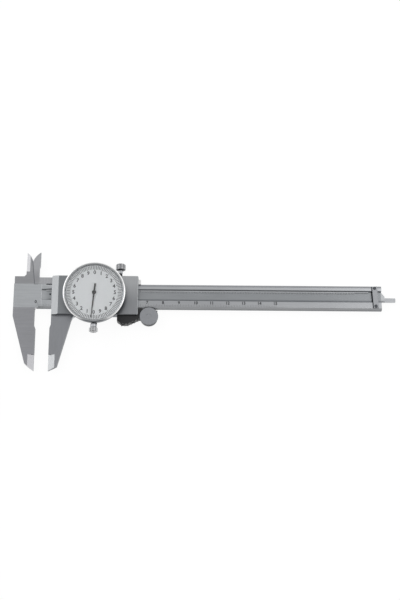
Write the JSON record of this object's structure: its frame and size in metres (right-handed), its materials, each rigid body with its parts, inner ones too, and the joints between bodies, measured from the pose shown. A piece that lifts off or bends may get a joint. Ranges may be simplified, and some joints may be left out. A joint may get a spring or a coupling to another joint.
{
  "type": "dial caliper",
  "caption": "Dial caliper for outside, inside and depth measuring, with a sliding jaw geared to a round dial, a thumb roller and a lock screw.",
  "frame": {"origin": "centre of the fixed outside-measuring face, half way through its thickness", "axes": "+X along the beam, the way the jaws open; +Y from the lower jaws to the upper blades; +Z out of the dial"},
  "size_m": [0.2407, 0.0777, 0.0142],
  "materials": {
    "satin_steel": "satin ground stainless steel",
    "bright_steel": "bright ground stainless steel",
    "bezel_steel": "satin chrome plated",
    "screw_steel": "turned steel",
    "movement_brass": "turned and milled brass",
    "arbor_steel": "polished hardened steel",
    "black_grip": "black coated zinc",
    "dial_white": "matt white printed dial",
    "pointer_black": "black coated",
    "crystal_clear": "clear polished",
    "spring_steel": "tempered spring strip"
  },
  "bodies": {
    "beam": {"beam": "satin_steel", "rack": "bright_steel", "end_stop": "satin_steel", "end_stop_screws": "screw_steel"},
    "slider": {"slider_frame": "satin_steel", "back_plate": "satin_steel", "back_plate_screws": "screw_steel", "gib_strip": "bright_steel", "gib_screws": "screw_steel", "depth_rod": "bright_steel", "rod_pin": "arbor_steel", "thumb_rest": "black_grip", "thumb_rest_screws": "screw_steel", "roller_pin": "screw_steel", "dial_case": "satin_steel", "case_screws": "screw_steel", "movement_bridge": "movement_brass", "bridge_screws": "screw_steel", "hairspring": "spring_steel", "snap_ring": "spring_steel", "clamp_bracket": "satin_steel"},
    "bezel": {"bezel_ring": "bezel_steel", "crystal": "crystal_clear", "dial_face": "dial_white"},
    "pointer": {"centre_arbor": "arbor_steel", "pointer": "pointer_black"},
    "drive": {"rack_arbor": "arbor_steel", "drive_wheel": "movement_brass"},
    "take_up": {"take_up_arbor": "arbor_steel", "take_up_wheel": "movement_brass"},
    "roller": {"thumb_roller": "bright_steel"},
    "lock_screw": {"lock_screw": "bright_steel"},
    "clamp_screw": {"clamp_screw": "bright_steel"}
  },
  "joints": [
    {"name": "slider_slide", "type": "slide", "parent": "beam", "child": "slider", "axis": [1, 0, 0], "range_m": [-0.00903, 0.14097]},
    {"name": "pointer_spin", "type": "hinge", "parent": "slider", "child": "pointer", "pos_m": [0.03693, 0.0348, 0.006], "axis": [0, 0, 1], "continuous": true},
    {"name": "rack_gear_spin", "type": "hinge", "parent": "slider", "child": "drive", "pos_m": [0.04428, 0.03631, 0.006], "axis": [0, 0, 1], "continuous": true},
    {"name": "take_up_spin", "type": "hinge", "parent": "slider", "child": "take_up", "pos_m": [0.02958, 0.0333, 0.006], "axis": [0, 0, 1], "continuous": true},
    {"name": "roller_spin", "type": "hinge", "parent": "slider", "child": "roller", "pos_m": [0.07096, 0.02152, 0], "axis": [0, 0, 1], "continuous": true},
    {"name": "bezel_turn", "type": "hinge", "parent": "slider", "child": "bezel", "pos_m": [0.03693, 0.0348, 0.006], "axis": [0, 0, 1], "continuous": true},
    {"name": "lock_screw_turn", "type": "hinge", "parent": "slider", "child": "lock_screw", "pos_m": [0.05258, 0.0498, 0], "axis": [0, 1, 0], "range_deg": [-40, 720]},
    {"name": "clamp_screw_turn", "type": "hinge", "parent": "slider", "child": "clamp_screw", "pos_m": [0.03693, 0.0128, 0.0072], "axis": [0, -1, 0], "range_deg": [-40, 720]}
  ],
  "couplings": [
    {"joint": "pointer_spin", "follows": "slider_slide", "rad_per_m": -3141.6},
    {"joint": "rack_gear_spin", "follows": "slider_slide", "rad_per_m": 628.32},
    {"joint": "take_up_spin", "follows": "slider_slide", "rad_per_m": 628.32},
    {"joint": "roller_spin", "follows": "slider_slide", "rad_per_m": 183.49}
  ]
}
